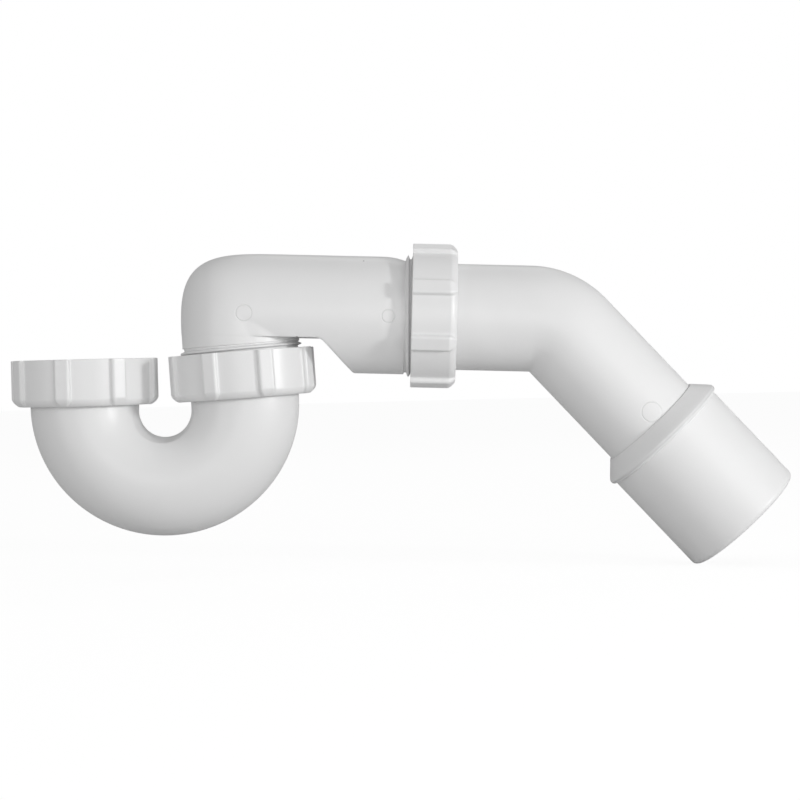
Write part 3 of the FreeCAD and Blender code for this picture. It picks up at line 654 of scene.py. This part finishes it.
# One wire of a material: sums on it add Math nodes, and node() adds any other node.
class Wire:
    def __init__(self, tree, socket=None):
        self.tree = tree
        self.socket = socket

    def node(self, kind, settings=None, inputs=None, output=0):
        made = self.tree.nodes.new("ShaderNode" + kind)
        for name, setting in (settings or {}).items():
            setattr(made, name, setting)
        for name, given in (inputs or {}).items():
            if isinstance(given, Wire):
                self.tree.links.new(given.socket, made.inputs[name])
            else:
                made.inputs[name].default_value = given
        return Wire(self.tree, made.outputs[output] if made.outputs else None)

    def maths(self, operation, *others):
        return self.node("Math", {"operation": operation}, dict(enumerate((self, *others))))

    def __add__(self, other):
        return self.maths("ADD", other)

    def __sub__(self, other):
        return self.maths("SUBTRACT", other)

    def __mul__(self, other):
        return self.maths("MULTIPLY", other)

    def __truediv__(self, other):
        return self.maths("DIVIDE", other)

    def __radd__(self, other):
        return self.node("Math", {"operation": "ADD"}, {0: other, 1: self})

    def __rsub__(self, other):
        return self.node("Math", {"operation": "SUBTRACT"}, {0: other, 1: self})

    def __rmul__(self, other):
        return self.node("Math", {"operation": "MULTIPLY"}, {0: other, 1: self})

    def held(self, low, high):
        return self.node("Clamp", {}, {"Value": self, "Min": low, "Max": high})


plastic = {
    "tone": 0.80,
    "roughness": 0.36,
    "roughnessDrift": 0.08,
    "toneDrift": 0.04,
    "driftScale": 28.0,
    "grainScale": 1500.0,
    "grainHeight": 0.012,
    "waveScale": 60.0,
    "waveHeight": 0.05,  # sink and flow of the moulding
    "partingWidth": 0.22,
    "partingHeight": 0.05,
    "markWidth": 0.35,
    "markDepth": 0.12,
    # painted shade: how much darker each ejector mark's groove ring is coloured
    "markPaintedShade": 0.03,
    "markFront": 8.0,  # marks show only this far in front of the middle plane
    "speckShade": 0.45,
}


# a material's tree, emptied, as a wire that nodes can be added to
def emptyTree(owner):
    owner.use_nodes = True
    owner.node_tree.nodes.clear()
    return Wire(owner.node_tree)


# Moulded plastic: a slow drift of tone, fine grain, shallow sink waves, a parting line in the
# middle plane where the mould halves met, round ejector marks as shallow grooves whose rings
# are darkened with painted shade, and a dark speck. Heights are millimetres, which the Bump
# node's distance takes to metres.
def mouldedWhite(
    name, parting=False, marks=(), speck=None, roughness=plastic["roughness"], tone=1.0,
):
    material = bpy.data.materials.new(name)
    start = emptyTree(material)
    place = start.node("TexCoord", output="Object")

    def noise(scale, detail):
        inputs = {"Vector": place, "Scale": scale, "Detail": detail}
        return start.node("TexNoise", {}, inputs, "Fac")

    drift = noise(plastic["driftScale"], 3.0)
    height = noise(plastic["grainScale"], 2.0) * plastic["grainHeight"]
    height = height + noise(plastic["waveScale"], 1.0) * plastic["waveHeight"]
    split = start.node("SeparateXYZ", {}, {0: place}).socket.node
    x, y, z = (Wire(start.tree, split.outputs[k]) * 1000 for k in range(3))

    def awayFrom(spotX, spotZ):
        return ((x - spotX) * (x - spotX) + (z - spotZ) * (z - spotZ)).maths("SQRT")

    if parting:
        off = y.maths("ABSOLUTE") / plastic["partingWidth"]
        height = height + (1 - off).held(0, 1) * plastic["partingHeight"]
    shade = (drift - 0.5) * plastic["toneDrift"]
    for markX, markZ, radius in marks:
        off = (awayFrom(markX, markZ) - radius).maths("ABSOLUTE") / plastic["markWidth"]
        mark = (1 - off).held(0, 1) * (-1 * y - plastic["markFront"]).held(0, 1)
        height = height - mark * plastic["markDepth"]
        # painted shade: the groove ring of each ejector mark is coloured darker
        shade = shade - mark * plastic["markPaintedShade"]
    value = plastic["tone"] * tone + shade
    if speck is not None:
        off = awayFrom(speck[0], speck[1]) / speck[2]
        value = value - (1 - off).held(0, 1) * (-1 * y).held(0, 1) * plastic["speckShade"]
    colour = start.node("CombineColor", {}, {0: value, 1: value, 2: value})
    rough = (drift - 0.5) * plastic["roughnessDrift"] + roughness
    bump = start.node("Bump", {}, {"Strength": 1.0, "Distance": 0.001, "Height": height})
    shader = start.node("BsdfPrincipled", {}, {
        "Base Color": colour, "Roughness": rough, "IOR": 1.49, "Normal": bump,
    })
    start.node("OutputMaterial", {}, {"Surface": shader})
    return material


slipRing = {
    "tone": 0.95,  # a little darker than the mouldings
    "roughness": 0.5,
}
washer = {
    "tone": 0.03,
    "dust": 0.05,
    "dustScale": 400.0,
    "dustHeight": 0.03,
    "roughness": 0.6,
    "roughnessDrift": 0.2,
}


# black rubber with a little pale dust
def rubber(name):
    material = bpy.data.materials.new(name)
    start = emptyTree(material)
    place = start.node("TexCoord", output="Object")
    dust = start.node("TexNoise", {}, {
        "Vector": place, "Scale": washer["dustScale"], "Detail": 4.0,
    }, "Fac")
    value = washer["tone"] + (dust - 0.4).held(0, 1) * washer["dust"]
    colour = start.node("CombineColor", {}, {0: value, 1: value, 2: value})
    rough = washer["roughness"] + (dust - 0.5) * washer["roughnessDrift"]
    height = dust * washer["dustHeight"]
    bump = start.node("Bump", {}, {"Strength": 1.0, "Distance": 0.001, "Height": height})
    shader = start.node("BsdfPrincipled", {}, {
        "Base Color": colour, "Roughness": rough, "Normal": bump,
    })
    start.node("OutputMaterial", {}, {"Surface": shader})
    return material


def finishPiece(name, points, body, node, material):
    piece = skin(name, points)
    piece.data.materials.append(material)
    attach(piece, body)
    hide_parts(node)
    print("made", name)


finishPiece(
    "trap_bend", bendSkin(), "trap", "u_bend",
    mouldedWhite("bendWhite", parting=True),
)

spin = unionNut["inletSpin"]
finishPiece(
    "inlet_nut", placed(nutSkin(unionNut, 0.0, unionFrame(spin)), (0, 0), 0, spin),
    "inlet_nut", "inlet_union_nut",
    mouldedWhite("inletNutWhite", roughness=nut["roughness"]),
)

spin = unionNut["outletSpin"]
outletNut = nutSkin(unionNut, thread["legStart"], unionFrame(spin))
finishPiece(
    "outlet_nut", placed(outletNut, outletPoint(trap["bendDrop"]), -trap["outletLean"], spin),
    "outlet_nut", "outlet_union_nut",
    mouldedWhite("outletNutWhite", roughness=nut["roughness"]),
)

jointNut = nutSkin(sealNut, thread["armStart"], sealFrame)
finishPiece(
    "seal_nut", placed(jointNut, armPoint(trap["jointReach"]), armTurn + 180, sealNut["spin"]),
    "seal_nut", "compression_nut",
    mouldedWhite("sealNutWhite", roughness=nut["roughness"]),
)

finishPiece(
    "trap_elbow", elbowSkin(), "elbow", "swivel_elbow",
    mouldedWhite("elbowWhite", parting=True, marks=elbow["marks"], speck=elbow["speck"]),
)

finishPiece(
    "waste_pipe", pipeSkin(), "pipe", "outlet_pipe",
    mouldedWhite("pipeWhite", marks=pipe["marks"]),
)

finishPiece(
    "waste_sleeve", sleeveSkin(), "sleeve", "adapter_sleeve",
    mouldedWhite("sleeveWhite", roughness=sleeve["roughness"]),
)

washerRubber = rubber("washerRubber")
for name, material in (
    ("inlet_washer", washerRubber),
    ("elbow_washer", washerRubber),
    ("cone_washer", washerRubber),
    ("slip_ring", mouldedWhite("ringWhite", **slipRing)),
):
    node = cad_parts[name]
    node.data.materials.clear()
    node.data.materials.append(material)
print("washers finished")

studio = {
    "distance": 850.0,
    "eye": (125.1, -5.1),  # where the lens axis would meet the object's plane
    "target": (119.14, -18.21),
    "roll": 1.4,
    "sensor": 36.0,
    "pixels": 800,
    "pixelsPerMm": 2.646,
    "floorDrop": 1.4,  # under the lowest point of the solids
    "floorSide": 4.0,
    "floorBounce": (0.7, 0.7, 0.7, 1),  # what the floor is to every ray but the camera's
    "floorTone": (0.95, 0.95, 0.95, 1),
    "floorGlow": 1.07,
    "floorGlowShare": 0.85,  # the rest takes the shadow
    "aim": (0.118, 0.0, -0.015),
    "air": 0.43,
}
lamps = {  # place, size and power
    "front": ((0.118, -1.199, 0.027), 0.5, 1.9),
    "near": ((0.800, -0.973, 0.152), 0.4, 2.2),
    "key": ((1.147, -0.594, 0.152), 0.12, 5.1),
    "left": ((-0.730, -0.848, 0.027), 0.5, 2.1),
    "back": ((0.200, 0.900, 0.900), 0.5, 0.8),
}


# The camera looks from the eye, set back by the distance, at the target; up is Z, rolled.
def makeCamera():
    lens = bpy.data.cameras.new("camera")
    eye = Vector((studio["eye"][0], -studio["distance"], studio["eye"][1])) / 1000
    target = Vector((studio["target"][0], 0, studio["target"][1])) / 1000
    lens.sensor_width = studio["sensor"]
    lens.lens = studio["sensor"] * studio["distance"] * studio["pixelsPerMm"] / studio["pixels"]
    lens.clip_start, lens.clip_end = 0.01, 50
    camera = bpy.data.objects.new("camera", lens)
    bpy.context.scene.collection.objects.link(camera)
    roll = math.radians(studio["roll"])
    ahead = (target - eye).normalized()
    right = ahead.cross(Vector((math.sin(roll), 0, math.cos(roll)))).normalized()
    up = right.cross(ahead)
    turned = Matrix((right, up, -ahead)).transposed().to_4x4()
    camera.matrix_world = Matrix.Translation(eye) @ turned
    bpy.context.scene.camera = camera


def makeLamp(name, place, size, power):
    data = bpy.data.lights.new(name, "AREA")
    data.shape = "RECTANGLE"
    data.size = data.size_y = size
    data.energy = power
    lamp = bpy.data.objects.new(name, data)
    bpy.context.scene.collection.objects.link(lamp)
    toward = Vector(studio["aim"]) - Vector(place)
    lamp.rotation_euler = toward.to_track_quat("-Z", "Y").to_euler()
    lamp.location = place


# a plain pale floor: mostly a glow to the camera, plain matt to all other rays
def makeFloor(height):
    side = studio["floorSide"]
    mesh = bpy.data.meshes.new("floor")
    corners = [(x * side, y * side, height) for x, y in ((-1, -1), (1, -1), (1, 1), (-1, 1))]
    mesh.from_pydata(corners, [], [(0, 1, 2, 3)])
    floor = bpy.data.objects.new("floor", mesh)
    bpy.context.scene.collection.objects.link(floor)
    material = bpy.data.materials.new("floor")
    start = emptyTree(material)
    seen = start.node("LightPath", output="Is Camera Ray")
    tone = start.node("Mix", {"data_type": "RGBA"}, {
        0: seen, 6: studio["floorBounce"], 7: studio["floorTone"],
    }, 2)
    matt = start.node("BsdfDiffuse", {}, {"Color": tone})
    glow = start.node("Emission", {}, {"Color": (1, 1, 1, 1), "Strength": studio["floorGlow"]})
    both = start.node("MixShader", {}, {0: seen * studio["floorGlowShare"], 1: matt, 2: glow})
    start.node("OutputMaterial", {}, {"Surface": both})
    mesh.materials.append(material)


# soft light from all round, seen by the camera as plain white
def makeAir():
    world = bpy.data.worlds.new("air")
    start = emptyTree(world)
    seen = start.node("LightPath", output="Is Camera Ray")
    soft = start.node("Background", {}, {"Color": (1, 1, 1, 1), "Strength": studio["air"]})
    white = start.node("Background", {}, {"Color": (1, 1, 1, 1), "Strength": 1.0})
    both = start.node("MixShader", {}, {0: seen, 1: soft, 2: white})
    start.node("OutputWorld", {}, {"Surface": both})
    bpy.context.scene.world = world


makeCamera()
for name, (place, size, power) in lamps.items():
    makeLamp(name, place, size, power)
makeFloor(cadBox[0][2] - studio["floorDrop"] / 1000)
makeAir()
bpy.context.scene.view_settings.view_transform = "Standard"
print("studio ready")
